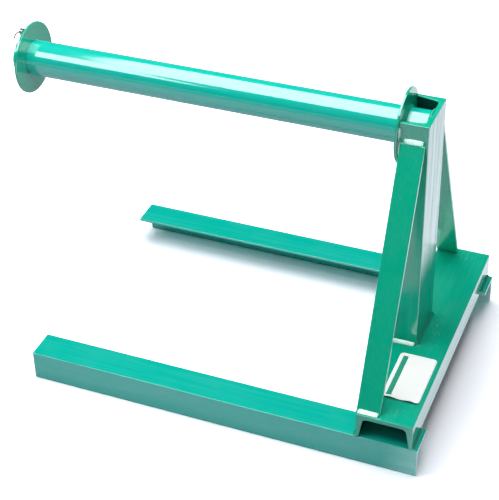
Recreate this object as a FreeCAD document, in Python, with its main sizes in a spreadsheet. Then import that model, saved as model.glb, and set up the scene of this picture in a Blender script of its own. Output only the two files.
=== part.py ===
"""Cable drum jack: a welded stand that carries a drum of cable on a cantilever spindle.

Two angle legs lie on the floor. A channel lies across their right ends, web up, and a second
channel stands on it, held by two flat-bar braces. The spindle pipe is welded into the upright
and carries a fixed disc at its root and a loose retaining disc at its free end, where a lock
pin with a pull ring passes through it.

Millimetres. X runs along the spindle, Y across the stand, Z up. The origin is on the floor, in
the middle of the length and of the width.
"""

import FreeCAD, Part

import math
import os

import Sketcher

Vector = FreeCAD.Vector
Rotation = FreeCAD.Rotation

# Driving dimensions: alias, value

SIZES = [
    # rolled channel of the base and of the upright
    ("channel_depth", 76.2),
    ("channel_flange", 38.05),
    ("channel_web", 6.55),
    ("channel_toe", 4.3),
    ("flange_slope", 6.0),
    ("channel_root_radius", 6.8),
    ("channel_toe_radius", 2.2),
    ("base_length", 393.7),
    ("upright_length", 342.9),
    ("upright_setback", 42.5),
    # angle legs
    ("leg_size", 44.45),
    ("leg_wall", 4.76),
    ("leg_root_radius", 6.0),
    ("leg_toe_radius", 2.4),
    ("leg_length", 558.8),
    ("leg_ledge", 7.4),
    # flat-bar braces
    ("brace_width", 31.75),
    ("brace_thickness", 4.76),
    ("brace_inset", 6.35),
    ("brace_rise", 317.5),
    # spindle pipe and its discs
    ("spindle_rise", 317.5),
    ("spindle_diameter", 48.26),
    ("spindle_wall", 3.68),
    ("spindle_length", 582.0),
    ("spindle_standoff", 1.0),
    ("disc_diameter", 98.4),
    ("disc_thickness", 3.4),
    ("disc_edge", 0.5),
    ("disc_station", 20.0),
    ("fixed_disc_gap", 0.2),
    ("retaining_disc_gap", 0.35),
    # lock pin and pull ring
    ("pin_station", 5.2),
    ("pin_diameter", 6.35),
    ("pin_gap", 0.3),
    ("pin_reach", 6.0),
    ("pin_point", 1.2),
    ("collar_diameter", 10.0),
    ("collar_thickness", 3.0),
    ("eye_height", 12.4),
    ("eye_diameter", 9.0),
    ("eye_thickness", 4.5),
    ("eye_hole", 3.6),
    ("eye_root", 2.0),
    ("ring_radius", 9.6),
    ("ring_wire", 2.0),
    ("rest_gap", 0.3),
    # weld beads: ripple pitch, valley as a share of the leg, leg lengths, lengths of the free seams
    ("bead_pitch", 4.0),
    ("bead_valley", 0.18),
    ("foot_bead", 5.5),
    ("upright_bead", 5.5),
    ("leg_bead", 5.0),
    ("disc_bead", 2.8),
    ("disc_seam", 40.0),
    ("spindle_bead", 4.0),
    ("spindle_bead_arc", 84.0),
    ("weld_gap", 0.1),
]

doc = FreeCAD.newDocument("cable_drum_jack")
sheet = doc.addObject("Spreadsheet::Sheet", "Dims")
for row, (alias, amount) in enumerate(SIZES, start=1):
    sheet.set("A%d" % row, alias)
    sheet.set("B%d" % row, str(amount))
    sheet.setAlias("B%d" % row, alias)
doc.recompute()


def size(alias):
    """The value of one driving dimension."""
    return float(sheet.get(alias))


# Places that several pieces share, as expressions of the sheet's cells. Along X they are counted
# from the outer face of the base channel, and MIDDLE moves them to the middle of the length.

WEB_OUTER = "(-Dims.upright_setback)"
WEB_INNER = "(%s - Dims.channel_web)" % WEB_OUTER
TIPS = "(%s - Dims.channel_flange)" % WEB_OUTER
FREE_END = "(%s - Dims.spindle_length)" % WEB_INNER
PIN = "(%s + Dims.pin_station)" % FREE_END
RING_END = "(%s - Dims.ring_radius - Dims.ring_wire / 2)" % PIN
MIDDLE = "(-(%s + Dims.leg_ledge) / 2)" % RING_END

HALF_DEPTH = "(Dims.channel_depth / 2)"
HALF_BASE = "(Dims.base_length / 2)"
BASE_TOP = "(Dims.leg_size + Dims.channel_flange)"
AXIS = "(%s + Dims.spindle_rise)" % BASE_TOP
SPINDLE_RADIUS = "(Dims.spindle_diameter / 2)"

# A brace as wide level cut through the slanting bar, and the run of its slope.
BRACE_RUN = "(%s - Dims.brace_inset - %s)" % (HALF_BASE, HALF_DEPTH)
BRACE_CUT = "(Dims.brace_thickness * sqrt(1 + (%s / Dims.brace_rise)^2))" % BRACE_RUN
BRACE_X = "(%s - Dims.channel_flange / 2)" % WEB_OUTER

# The ring's round wire is drawn with this many sides, which is true to 0.04 mm.
WIRE_SIDES = 12

# The round of a bead's ripple is drawn with this many chords.
BEAD_CHORDS = 4

# Turns in degrees, and how closely two lengths agree, in millimetres.
FULL_TURN = 360.0
HALF_TURN = 180.0
SAME = 0.01


def new_body(label):
    """An empty body whose label names the piece."""
    body = doc.addObject("PartDesign::Body", label)
    body.Label = label
    return body


def origin_feature(body, role):
    """One of the body's own origin planes or axes."""
    for feature in body.Origin.OriginFeatures:
        if feature.Role == role:
            return feature
    raise ValueError("no origin feature " + role)


def new_sketch(body, plane, name):
    """A sketch on one of the body's origin planes."""
    sketch = body.newObject("Sketcher::SketchObject", name)
    sketch.AttachmentSupport = [(origin_feature(body, plane), "")]
    sketch.MapMode = "FlatFace"
    return sketch


def pin_point_to(sketch, geometry, position, across, up):
    """Dimension one point of a sketch from the sketch's origin."""
    for kind, expression in (("DistanceX", across), ("DistanceY", up)):
        index = sketch.addConstraint(Sketcher.Constraint(kind, -1, 1, geometry, position, 1.0))
        sketch.setExpression("Constraints[%d]" % index, expression)


def draw_outline(body, plane, name, corners):
    """A closed outline of straight lines through corners given as expressions."""
    sketch = new_sketch(body, plane, name)
    count = len(corners)
    start_radius = 20.0
    places = []
    for index in range(count):
        turn = 2 * math.pi * index / count
        places.append(Vector(start_radius * math.cos(turn), start_radius * math.sin(turn), 0))
    for index in range(count):
        sketch.addGeometry(Part.LineSegment(places[index], places[(index + 1) % count]), False)
    for index in range(count):
        sketch.addConstraint(Sketcher.Constraint("Coincident", index, 2, (index + 1) % count, 1))
    for index, (across, up) in enumerate(corners):
        pin_point_to(sketch, index, 1, across, up)
    return sketch


def draw_circles(body, plane, name, circles):
    """Circles given as (across, up, diameter) expressions."""
    sketch = new_sketch(body, plane, name)
    for index, (across, up, diameter) in enumerate(circles):
        start_radius = 5.0 + index
        start = Part.Circle(Vector(index, index, 0), Vector(0, 0, 1), start_radius)
        sketch.addGeometry(start, False)
        pin_point_to(sketch, index, 3, across, up)
        number = sketch.addConstraint(Sketcher.Constraint("Diameter", index, 2 * start_radius))
        sketch.setExpression("Constraints[%d]" % number, diameter)
    return sketch


def pad(body, sketch, length, symmetric=False):
    """Push a sketch out along its normal."""
    feature = body.newObject("PartDesign::Pad", "Pad")
    feature.Profile = sketch
    feature.Type = "Length"
    feature.SideType = "Symmetric" if symmetric else "One side"
    feature.setExpression("Length", length)
    return feature


def revolve(body, sketch, axis, angle=FULL_TURN, symmetric=False):
    """Turn a sketch about one of the body's origin axes."""
    feature = body.newObject("PartDesign::Revolution", "Revolution")
    feature.Profile = sketch
    feature.ReferenceAxis = (origin_feature(body, axis), [""])
    feature.Midplane = symmetric
    if isinstance(angle, str):
        feature.setExpression("Angle", angle)
    else:
        feature.Angle = angle
    return feature


def bore_through(body, sketch):
    """Cut a sketch right through the body, both ways, and check that it cut."""
    doc.recompute()
    before = body.Shape.Volume
    feature = body.newObject("PartDesign::Pocket", "Pocket")
    feature.Profile = sketch
    feature.Type = "ThroughAll"
    feature.SideType = "Symmetric"
    doc.recompute()
    if not body.Shape.Volume < before:
        raise ValueError(body.Label + ": the bore cuts nothing")
    return feature


def edges_at(feature, test):
    """Names of the feature's edges whose middle passes the test."""
    names = []
    for number, edge in enumerate(feature.Shape.Edges, start=1):
        middle = edge.valueAt((edge.FirstParameter + edge.LastParameter) / 2)
        if test(middle, edge):
            names.append("Edge%d" % number)
    return names


def round_edges(body, feature, radius, test):
    """Fillet the edges that pass the test."""
    doc.recompute()
    names = edges_at(feature, test)
    if not names:
        raise ValueError(body.Label + ": no edge to round")
    fillet = body.newObject("PartDesign::Fillet", "Fillet")
    fillet.Base = (feature, names)
    fillet.setExpression("Radius", radius)
    return fillet


def near(first, second):
    """True where two lengths agree."""
    return abs(first - second) < SAME


def place(body, across, along, up, axis=Vector(0, 0, 1), angle=0.0):
    """Put a body at a place given by expressions, turned by a number of degrees."""
    body.Placement = FreeCAD.Placement(Vector(0, 0, 0), Rotation(axis, angle))
    body.setExpression("Placement.Base.x", "%s + %s" % (MIDDLE, across))
    body.setExpression("Placement.Base.y", along)
    body.setExpression("Placement.Base.z", up)


def turn_by(body, axis, angle):
    """Turn a placed body by an angle given as an expression."""
    first_turn = 30.0
    body.Placement = FreeCAD.Placement(body.Placement.Base, Rotation(axis, first_turn))
    body.setExpression("Placement.Rotation.Angle", angle)


# Frame members


def make_leg(label, side):
    """An angle along X: one flange upright at the outside, the other on top, pointing inwards.

    The section's corner is the outer edge on the floor. side is -1 for the near leg. The far
    leg is the same piece turned half round."""
    body = new_body(label)
    leg, wall = "Dims.leg_size", "Dims.leg_wall"
    section = draw_outline(body, "YZ_Plane", "Section", [
        ("0", "0"),
        (wall, "0"),
        (wall, "%s - %s" % (leg, wall)),
        (leg, "%s - %s" % (leg, wall)),
        (leg, leg),
        ("0", leg),
    ])
    bar = pad(body, section, "Dims.leg_length", symmetric=True)
    inner = size("leg_size") - size("leg_wall")
    root = round_edges(body, bar, "Dims.leg_root_radius",
                       lambda p, e: near(p.y, size("leg_wall")) and near(p.z, inner) and near(p.x, 0))
    round_edges(body, root, "Dims.leg_toe_radius",
                lambda p, e: near(p.x, 0) and ((near(p.y, size("leg_wall")) and near(p.z, 0))
                                               or (near(p.y, size("leg_size")) and near(p.z, inner))))
    middle = "Dims.leg_ledge - Dims.leg_length / 2"
    place(body, middle, "%d * %s" % (side, HALF_BASE), "0", angle=0.0 if side < 0 else HALF_TURN)


def make_channel(label, length):
    """A rolled channel along local Z, its web's outer face at x = 0 and its flanges towards -X.

    The flanges' inner faces slope, so each is thicker at the web than at its toe."""
    body = new_body(label)
    toe = "Dims.channel_toe"
    slope = "(Dims.channel_flange - Dims.channel_web) / Dims.flange_slope"
    flange, web = "-Dims.channel_flange", "-Dims.channel_web"
    root = "(%s - %s - %s)" % (HALF_DEPTH, toe, slope)
    section = draw_outline(body, "XY_Plane", "Section", [
        ("0", "-" + HALF_DEPTH),
        ("0", HALF_DEPTH),
        (flange, HALF_DEPTH),
        (flange, "%s - %s" % (HALF_DEPTH, toe)),
        (web, root),
        (web, "-" + root),
        (flange, "-(%s - %s)" % (HALF_DEPTH, toe)),
        (flange, "-" + HALF_DEPTH),
    ])
    bar = pad(body, section, length)
    half = size("channel_depth") / 2
    tip = half - size("channel_toe")
    corner = tip - (size("channel_flange") - size("channel_web")) / size("flange_slope")
    rounded = round_edges(body, bar, "Dims.channel_root_radius",
                          lambda p, e: near(p.x, -size("channel_web")) and near(abs(p.y), corner))
    round_edges(body, rounded, "Dims.channel_toe_radius",
                lambda p, e: near(p.x, -size("channel_flange")) and near(abs(p.y), tip))
    return body


def make_base_channel():
    """The channel across the legs: web up, flanges down on the legs, ends flush with them.

    Two thirds of a turn about the cube's diagonal carry local Z to Y, X to Z and Y to X."""
    body = make_channel("base_channel", "Dims.base_length")
    place(body, "-" + HALF_DEPTH, "-" + HALF_BASE, BASE_TOP, Vector(1, 1, 1), 2 * FULL_TURN / 3)


def make_upright_channel():
    """The channel that stands on the base, its web away from the spindle."""
    body = make_channel("upright_channel", "Dims.upright_length")
    place(body, WEB_OUTER, "0", BASE_TOP)


def make_brace(label, side):
    """A flat bar from the upright's flange down to the end of the base.

    Drawn for the far side, from the flange's face at y = 0 and the base's top at z = 0."""
    body = new_body(label)
    outline = draw_outline(body, "YZ_Plane", "Outline", [
        (BRACE_RUN, "0"),
        (BRACE_CUT, "Dims.brace_rise"),
        ("0", "Dims.brace_rise"),
        ("%s - %s" % (BRACE_RUN, BRACE_CUT), "0"),
    ])
    pad(body, outline, "Dims.brace_width", symmetric=True)
    place(body, BRACE_X, "%d * %s" % (side, HALF_DEPTH), BASE_TOP, angle=HALF_TURN if side < 0 else 0.0)


# Spindle


def make_spindle_pipe():
    """The tube from just inside the upright's web to the free end, cross-drilled for the pin."""
    body = new_body("spindle_pipe")
    bore = "Dims.spindle_diameter - 2 * Dims.spindle_wall"
    rings = draw_circles(body, "YZ_Plane", "Ends", [("0", "0", "Dims.spindle_diameter"), ("0", "0", bore)])
    pad(body, rings, "Dims.spindle_length - Dims.spindle_standoff")
    hole = "Dims.pin_diameter + 2 * Dims.pin_gap"
    drill = draw_circles(body, "XY_Plane", "PinHole", [("Dims.pin_station", "0", hole)])
    bore_through(body, drill)
    place(body, FREE_END, "0", AXIS)


def make_disc(label, gap, where):
    """A round plate on the spindle, its left face at the given place."""
    body = new_body(label)
    bore = "Dims.spindle_diameter + 2 * Dims.%s" % gap
    rings = draw_circles(body, "YZ_Plane", "Plate", [("0", "0", "Dims.disc_diameter"), ("0", "0", bore)])
    plate = pad(body, rings, "Dims.disc_thickness")
    doc.recompute()
    rim = size("disc_diameter") * math.pi
    broken = body.newObject("PartDesign::Chamfer", "Rim")
    broken.Base = (plate, edges_at(plate, lambda p, e: near(e.Length, rim)))
    broken.setExpression("Size", "Dims.disc_edge")
    place(body, where, "0", AXIS)


def make_lock_pin():
    """The pin through the free end: point, shank, collar that rests on the pipe, and flat eye.

    Its own origin is where its axis crosses the spindle's."""
    body = new_body("lock_pin")
    radius = "(Dims.pin_diameter / 2)"
    collar = "(Dims.collar_diameter / 2)"
    seat = "(%s + Dims.rest_gap)" % SPINDLE_RADIUS
    foot = "(-%s - Dims.pin_reach)" % SPINDLE_RADIUS
    eye = "(%s + Dims.eye_height)" % SPINDLE_RADIUS
    neck_top = "(%s - Dims.eye_diameter / 2 + Dims.eye_root)" % eye
    profile = draw_outline(body, "XZ_Plane", "Profile", [
        ("0", foot),
        ("%s - Dims.pin_point" % radius, foot),
        (radius, foot + " + Dims.pin_point"),
        (radius, seat),
        (collar, seat),
        (collar, seat + " + Dims.collar_thickness"),
        (radius, seat + " + Dims.collar_thickness"),
        (radius, neck_top),
        ("0", neck_top),
    ])
    revolve(body, profile, "Z_Axis")
    plate = draw_circles(body, "YZ_Plane", "Eye", [("0", eye, "Dims.eye_diameter")])
    pad(body, plate, "Dims.eye_thickness", symmetric=True)
    hole = draw_circles(body, "YZ_Plane", "EyeHole", [("0", eye, "Dims.eye_hole")])
    bore_through(body, hole)
    place(body, PIN, "0", AXIS)


def make_pull_ring():
    """The wire ring in the pin's eye, leaning over until it rests on the pipe's near shoulder."""
    body = new_body("pull_ring")
    wire = "(Dims.ring_wire / 2)"
    section = draw_outline(body, "XZ_Plane", "Wire", [
        ("Dims.ring_radius + %s * cos(%d deg)" % (wire, angle), "%s * sin(%d deg)" % (wire, angle))
        for angle in range(0, int(FULL_TURN), int(FULL_TURN) // WIRE_SIDES)
    ])
    revolve(body, section, "Z_Axis")
    above = "(%s + Dims.eye_height)" % SPINDLE_RADIUS
    across = "(2 * Dims.ring_radius)"
    touching = "(%s + Dims.ring_wire / 2 + Dims.rest_gap)" % SPINDLE_RADIUS
    lean = "acos((%s^2 + %s^2 - %s^2) / (2 * %s * %s))" % (above, across, touching, above, across)
    place(body, PIN, "-Dims.ring_radius * sin(%s)" % lean,
          "%s + %s - Dims.ring_radius * cos(%s)" % (AXIS, above, lean))
    turn_by(body, Vector(1, 0, 0), "-90 deg - " + lean)


# Weld beads


def ripple_bead(body, leg, seam, wedge):
    """A bead along local Z whose two flat faces meet in its axis, notched between its ripples.

    seam is the bead's whole length, and wedge the angle between the plates, from local X."""
    corners = [("0", "0")]
    for step in range(BEAD_CHORDS + 1):
        angle = "(%d / %d * (%s))" % (step, BEAD_CHORDS, wedge)
        corners.append(("%s * cos(%s)" % (leg, angle), "%s * sin(%s)" % (leg, angle)))
    bar = pad(body, draw_outline(body, "XY_Plane", "Section", corners), seam)
    doc.recompute()
    before = bar.Shape.Volume

    count = "max(3; round(%s / Dims.bead_pitch))" % seam
    step = "(%s / %s)" % (seam, count)
    depth = "(Dims.bead_valley * %s)" % leg
    notch = draw_outline(body, "XZ_Plane", "Notch", [
        ("%s - %s" % (leg, depth), step),
        ("%s + %s" % (leg, depth), "%s - 2 * %s" % (step, depth)),
        ("%s + %s" % (leg, depth), "%s + 2 * %s" % (step, depth)),
    ])
    notch.AttachmentOffset = FreeCAD.Placement(Vector(0, 0, 0), Rotation(Vector(0, 1, 0), 1.0))
    notch.setExpression("AttachmentOffset.Rotation.Angle", "(%s) / 2" % wedge)
    cut = body.newObject("PartDesign::Pocket", "Valley")
    cut.Profile = notch
    cut.Type = "ThroughAll"
    cut.SideType = "Symmetric"
    doc.recompute()
    row = body.newObject("PartDesign::LinearPattern", "Valleys")
    row.Originals = [cut]
    row.Direction = (origin_feature(body, "Z_Axis"), [""])
    row.setExpression("Length", "%s - 2 * %s" % (seam, step))
    row.setExpression("Occurrences", "%s - 1" % count)
    body.Tip = row
    doc.recompute()
    if not body.Shape.Volume < before:
        raise ValueError(body.Label + ": the valleys cut nothing")


def turned(first, second, third):
    """The rotation that carries local X, Y and Z to three given directions."""
    matrix = FreeCAD.Matrix(first[0], second[0], third[0], 0,
                            first[1], second[1], third[1], 0,
                            first[2], second[2], third[2], 0,
                            0, 0, 0, 1)
    return FreeCAD.Placement(matrix).Rotation


def make_straight_bead(label, leg, seam, corner, frame, wedge="90 deg"):
    """A straight bead from a corner of the seam, its axes turned to the three given directions."""
    body = new_body(label)
    ripple_bead(body, leg, seam, wedge)
    rotation = turned(*frame)
    place(body, corner[0], corner[1], corner[2], rotation.Axis, math.degrees(rotation.Angle))


def make_brace_beads(name, side):
    """The bead over the brace's top end and the bead at its foot."""
    outwards = (0, side, 0)
    start = "(%s - %d * Dims.brace_width / 2)" % (BRACE_X, side)
    along = (side, 0, 0)
    make_straight_bead("weld_%s_brace_top" % name, BRACE_CUT, "Dims.brace_width",
                       (start, "%d * %s" % (side, HALF_DEPTH), "%s + Dims.brace_rise" % BASE_TOP),
                       (outwards, (0, 0, 1), along))
    slant = "90 deg + atan((%s - %s) / Dims.brace_rise)" % (BRACE_RUN, BRACE_CUT)
    foot = "%d * (%s + %s)" % (side, HALF_DEPTH, BRACE_RUN)
    make_straight_bead("weld_%s_brace_foot" % name, "Dims.foot_bead", "Dims.brace_width",
                       (start, foot, BASE_TOP), (outwards, (0, 0, 1), along), slant)


def make_upright_beads():
    """The beads round the foot of the upright: along both flanges and along the web."""
    for name, side in (("near", -1), ("far", 1)):
        start = WEB_OUTER if side < 0 else TIPS
        make_straight_bead("weld_upright_%s" % name, "Dims.upright_bead", "Dims.channel_flange",
                           (start, "%d * %s" % (side, HALF_DEPTH), BASE_TOP),
                           ((0, side, 0), (0, 0, 1), (side, 0, 0)))
    make_straight_bead("weld_upright_web", "Dims.upright_bead", "Dims.channel_depth",
                       (WEB_OUTER, HALF_DEPTH, BASE_TOP), ((1, 0, 0), (0, 0, 1), (0, -1, 0)))


def make_leg_beads(name, side):
    """The beads between a leg's top and the base channel's two flanges."""
    outer_start = "%d * %s" % (side, HALF_BASE)
    inner_start = "%d * (%s - Dims.leg_size)" % (side, HALF_BASE)
    first, second = (inner_start, outer_start) if side < 0 else (outer_start, inner_start)
    make_straight_bead("weld_%s_leg_outer" % name, "Dims.leg_bead", "Dims.leg_size",
                       ("0", first, "Dims.leg_size"), ((1, 0, 0), (0, 0, 1), (0, -1, 0)))
    make_straight_bead("weld_%s_leg_inner" % name, "Dims.leg_bead", "Dims.leg_size",
                       ("-Dims.channel_depth", second, "Dims.leg_size"), ((-1, 0, 0), (0, 0, 1), (0, 1, 0)))


def make_disc_beads():
    """The beads between the fixed disc's back and the outsides of the upright's flanges."""
    for name, side in (("near", -1), ("far", 1)):
        start = "%s - %d * Dims.disc_seam / 2" % (AXIS, -side)
        make_straight_bead("weld_disc_%s" % name, "Dims.disc_bead", "Dims.disc_seam",
                           (TIPS, "%d * %s" % (side, HALF_DEPTH), start),
                           ((0, side, 0), (1, 0, 0), (0, 0, -side)))


def make_ring_bead(label, where, points_to, arc=FULL_TURN, turn=0.0):
    """A fillet bead round the pipe, from a flat face at the given place."""
    body = new_body(label)
    inner = "(%s + Dims.weld_gap)" % SPINDLE_RADIUS
    leg = "Dims.spindle_bead"
    section = draw_outline(body, "XZ_Plane", "Section", [
        ("0", inner),
        ("%d * %s" % (points_to, leg), inner),
        ("0", "%s + %s" % (inner, leg)),
    ])
    revolve(body, section, "X_Axis", arc, symmetric=isinstance(arc, str))
    place(body, where, "0", AXIS, Vector(1, 0, 0), turn)


def make_spindle_beads():
    """The beads that hold the pipe: round it behind the fixed disc, and at the upright's web."""
    make_ring_bead("weld_spindle_disc", TIPS, 1)
    make_ring_bead("weld_spindle_top", WEB_INNER, -1, "Dims.spindle_bead_arc")
    make_ring_bead("weld_spindle_bottom", WEB_INNER, -1, "Dims.spindle_bead_arc", HALF_TURN)


make_leg("near_leg", -1)
make_leg("far_leg", 1)
make_base_channel()
make_upright_channel()
make_brace("near_brace", -1)
make_brace("far_brace", 1)
make_spindle_pipe()
make_disc("fixed_disc", "fixed_disc_gap", "%s - Dims.disc_thickness" % TIPS)
make_disc("retaining_disc", "retaining_disc_gap", "%s + Dims.disc_station - Dims.disc_thickness" % FREE_END)
make_lock_pin()
make_pull_ring()
make_brace_beads("near", -1)
make_brace_beads("far", 1)
make_upright_beads()
make_leg_beads("near", -1)
make_leg_beads("far", 1)
make_disc_beads()
make_spindle_beads()
doc.recompute()

# Checks and files

for item in doc.Objects:
    if "Invalid" in item.State or "Error" in item.State:
        raise ValueError(item.Label + " failed")

pieces = [item for item in doc.Objects if item.TypeId == "PartDesign::Body"]
os.makedirs("parts", exist_ok=True)
for piece in pieces:
    shape = piece.Shape
    if shape.isNull() or not shape.isValid():
        raise ValueError(piece.Label + " has no valid shape")
for piece in pieces:
    piece.Shape.exportStep("parts/%s.step" % piece.Label)
    box = piece.Shape.BoundBox
    print("%-24s %9.0f mm3  x %.1f to %.1f  y %.1f to %.1f  z %.1f to %.1f" % (
        piece.Label, piece.Shape.Volume, box.XMin, box.XMax, box.YMin, box.YMax, box.ZMin, box.ZMax))
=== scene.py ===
# %% [markdown]
# # Cable drum jack: finishing the welded stand
# The stand comes from CAD as a fixed frame of solids: two angle legs, a base channel, an upright
# channel, two flat-bar braces and a pipe spindle with its discs, pin and ring. This lesson gives
# each of them the look of shop-welded, enamelled steel. Every length is in metres and every piece
# sits where the frame says, so nothing has to be fitted.

# %% Load the frame
import math

import bmesh
import bpy
from mathutils import Matrix, Vector


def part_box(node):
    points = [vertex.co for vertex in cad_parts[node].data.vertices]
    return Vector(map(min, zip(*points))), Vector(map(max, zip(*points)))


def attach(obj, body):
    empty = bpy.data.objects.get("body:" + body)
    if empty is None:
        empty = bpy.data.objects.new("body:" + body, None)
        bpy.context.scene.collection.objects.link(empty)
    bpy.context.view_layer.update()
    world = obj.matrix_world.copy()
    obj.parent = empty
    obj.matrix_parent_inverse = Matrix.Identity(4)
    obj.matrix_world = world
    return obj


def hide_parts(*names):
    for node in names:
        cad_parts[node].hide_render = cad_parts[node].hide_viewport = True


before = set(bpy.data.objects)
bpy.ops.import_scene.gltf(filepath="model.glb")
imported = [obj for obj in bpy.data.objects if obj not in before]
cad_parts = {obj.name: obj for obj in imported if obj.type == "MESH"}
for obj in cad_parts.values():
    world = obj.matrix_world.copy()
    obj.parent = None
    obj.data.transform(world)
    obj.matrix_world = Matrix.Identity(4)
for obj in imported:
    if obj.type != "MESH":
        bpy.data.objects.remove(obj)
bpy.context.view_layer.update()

scene = bpy.context.scene
mm = 0.001
print("nodes in the frame:", len(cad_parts))

# %% [markdown]
# ## Camera
# A picture only matches an object when eye and lens match too. The eye looks down on the stand
# from the front and a little from the right, through a long lens, so the legs stay nearly
# parallel. Its place, its three angles and its focal length were worked out from the stand's edges.

# %% Camera
PICTURE_WIDTH, PICTURE_HEIGHT = 499, 500
EYE = Vector((0.6345, -1.4720, 1.3198))
LOOK_AZIMUTH = math.radians(22.84)
LOOK_DOWN = math.radians(36.19)
ROLL = math.radians(-1.59)
FOCAL_PIXELS = 1409.0
SENSOR = 36.0


def look_direction(azimuth, down):
    """The way the eye looks: azimuth 0 is along +Y and grows towards -X."""
    level = math.cos(down)
    return Vector((-math.sin(azimuth) * level, math.cos(azimuth) * level, -math.sin(down)))


camera = bpy.data.objects.new("camera", bpy.data.cameras.new("camera"))
scene.collection.objects.link(camera)
scene.camera = camera
camera.data.sensor_width = SENSOR
camera.data.lens = FOCAL_PIXELS * SENSOR / max(PICTURE_WIDTH, PICTURE_HEIGHT)
camera.location = EYE
facing = look_direction(LOOK_AZIMUTH, LOOK_DOWN).to_track_quat("-Z", "Y")
camera.rotation_mode = "QUATERNION"
camera.rotation_quaternion = facing @ Matrix.Rotation(ROLL, 3, "Z").to_quaternion()
print("lens %.1f mm" % camera.data.lens)


def picture_point(place):
    """Where a place lands in the picture, in pixels from its top left corner."""
    turned = camera.rotation_quaternion.to_matrix().transposed() @ (Vector(place) - EYE)
    across = PICTURE_WIDTH / 2 + FOCAL_PIXELS * turned.x / -turned.z
    down = PICTURE_HEIGHT / 2 - FOCAL_PIXELS * turned.y / -turned.z
    return round(across, 1), round(down, 1)


leg_low, leg_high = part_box("near_leg")
print("near leg's top left corner:", picture_point((leg_low.x, leg_low.y, leg_high.z)))

# %% [markdown]
# ## Node helpers
# Materials and Geometry Nodes are both graphs, so one small helper adds a node, sets its plain
# values and links what feeds it. An input is either a value or another node's socket.


# %% Node helpers
def add_node(tree, kind, inputs=None, **settings):
    """Add a node, set its properties, then its inputs by name or number."""
    node = tree.nodes.new(kind)
    for name, value in settings.items():
        setattr(node, name, value)
    for key, value in (inputs or {}).items():
        socket = node.inputs[key]
        if isinstance(value, bpy.types.NodeSocket):
            tree.links.new(value, socket)
        else:
            socket.default_value = value
    return node


def new_material(name):
    """An empty node material and its output node."""
    material = bpy.data.materials.new(name)
    material.use_nodes = True
    material.node_tree.nodes.clear()
    return material, add_node(material.node_tree, "ShaderNodeOutputMaterial")


def maths(tree, operation, first, second=0.0, third=0.0):
    """One arithmetic node's result."""
    return add_node(tree, "ShaderNodeMath", {0: first, 1: second, 2: third}, operation=operation).outputs[0]


def vector_maths(tree, operation, first, second=None, scale=None):
    """One vector node's result: a length as a number, anything else as a vector."""
    inputs = {0: first}
    if second is not None:
        inputs[1] = second
    if scale is not None:
        inputs["Scale"] = scale
    node = add_node(tree, "ShaderNodeVectorMath", inputs, operation=operation)
    return node.outputs["Value" if operation == "LENGTH" else "Vector"]


def ramp(tree, value, low, high, to_low, to_high):
    """Rescale a value from one range to another, held at the ends."""
    inputs = {"Value": value, "From Min": low, "From Max": high, "To Min": to_low, "To Max": to_high}
    return add_node(tree, "ShaderNodeMapRange", inputs).outputs["Result"]


def blend(tree, share, first, second):
    """A colour between two others, by a share of 0 to 1."""
    inputs = {0: share, 6: first, 7: second}
    return add_node(tree, "ShaderNodeMix", inputs, data_type="RGBA").outputs[2]


# %% [markdown]
# ## Studio
# The stand was photographed on white paper under a big soft lamp overhead, in a room that is
# darker than the paper. A glossy paint shows all of that: the floor is mirrored in the upright
# faces, the lamp in the top of the pipe, and the dark room in the level faces. So the lamp is
# large, the world is dark above the horizon in gloss, and the floor has three settings, picked by
# the kind of ray: a pale grey that lights the stand from below, an overexposed white that the
# eye sees, in which only the core of a shadow is left, and a bright right side for reflections.

# %% Floor, world and lamp
FLOOR_HALF = 14.0
FLOOR_COLOUR = (0.55, 0.55, 0.64, 1.0)
FLOOR_SEEN = (1.56, 1.53, 1.66, 1.0)
WHITE_FROM, WHITE_TO = 0.50, 1.10
GLARE = 1.45
GLARE_COLOUR = (0.88, 0.92, 1.0, 1.0)
GLARE_FROM, GLARE_TO = 0.27, 0.35
CEILING_LIGHT = 0.20
CEILING_MIRRORED = 0.006
HORIZON = 0.04
LAMP_HEIGHT = 1.65
LAMP_RADIANCE = 3.6
LAMPS = (
    ("overhead", (-0.10, 0.05), 1.40, 1.80),
    ("front_left", (-1.08, -1.00), 0.55, 1.20),
)


def make_floor():
    """White paper, overexposed to the eye but not to the stand, with a bright patch for gloss."""
    material, output = new_material("white_paper")
    tree = material.node_tree
    rays = add_node(tree, "ShaderNodeLightPath").outputs
    places = add_node(tree, "ShaderNodeTexCoord").outputs["Object"]
    by_eye = rays["Is Camera Ray"]
    colour = blend(tree, by_eye, FLOOR_COLOUR, FLOOR_SEEN)
    paper = add_node(tree, "ShaderNodeBsdfDiffuse", {"Color": colour}).outputs[0]
    away = vector_maths(tree, "LENGTH", places)
    white = maths(tree, "MULTIPLY", by_eye, ramp(tree, away, WHITE_FROM, WHITE_TO, 0.0, 1.0))
    backdrop = add_node(tree, "ShaderNodeEmission", {"Strength": white}).outputs[0]
    in_gloss = maths(tree, "MAXIMUM", rays["Is Glossy Ray"], rays["Is Transmission Ray"])
    east = add_node(tree, "ShaderNodeSeparateXYZ", {0: places}).outputs["X"]
    glare = maths(tree, "MULTIPLY", in_gloss, ramp(tree, east, GLARE_FROM, GLARE_TO, 0.0, GLARE))
    shine = add_node(tree, "ShaderNodeEmission", {"Color": GLARE_COLOUR, "Strength": glare}).outputs[0]
    surface = add_node(tree, "ShaderNodeAddShader", {0: paper, 1: backdrop}).outputs[0]
    surface = add_node(tree, "ShaderNodeAddShader", {0: surface, 1: shine}).outputs[0]
    tree.links.new(surface, output.inputs["Surface"])
    mesh = bpy.data.meshes.new("floor")
    corners = [(x * FLOOR_HALF, y * FLOOR_HALF, 0.0) for x, y in ((-1, -1), (1, -1), (1, 1), (-1, 1))]
    mesh.from_pydata(corners, [], [(0, 1, 2, 3)])
    mesh.materials.append(material)
    floor = bpy.data.objects.new("floor", mesh)
    scene.collection.objects.link(floor)


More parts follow.
